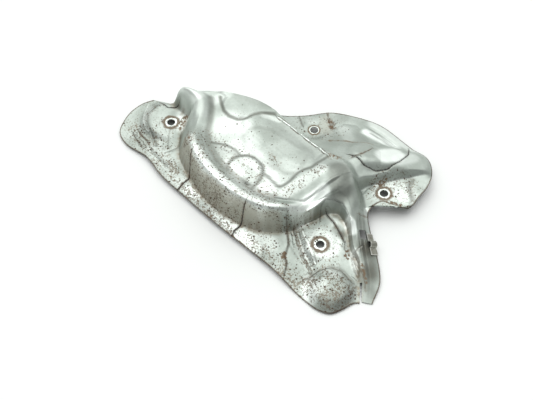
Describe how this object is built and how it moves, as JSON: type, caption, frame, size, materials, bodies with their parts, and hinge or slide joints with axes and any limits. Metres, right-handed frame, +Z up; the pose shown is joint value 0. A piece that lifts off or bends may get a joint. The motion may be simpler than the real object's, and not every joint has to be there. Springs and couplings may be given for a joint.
{
  "type": "exhaust heat shield",
  "caption": "Deep-drawn sheet-steel heat shield for an exhaust manifold, with a bulged body, flanged bolt seats and a folded edge clip.",
  "frame": {"origin": "middle of the part's footprint, on the plane of the table it lies on, open side down", "axes": "+X from the left ear to the toe, along the line of the front bolts; +Y to the rear lobe; +Z up, out of the bulge"},
  "size_m": [0.3336, 0.2062, 0.0442],
  "materials": {
    "shield_sheet": "dull aluminised pressed sheet, heat stained, with fine rust specks and rust along creases and bolt holes",
    "edge_clip": "dull grey-brown folded spring strip with a bright worn fold"
  },
  "bodies": {
    "root": {"shield_sheet": "shield_sheet", "edge_clip": "edge_clip"}
  },
  "joints": []
}
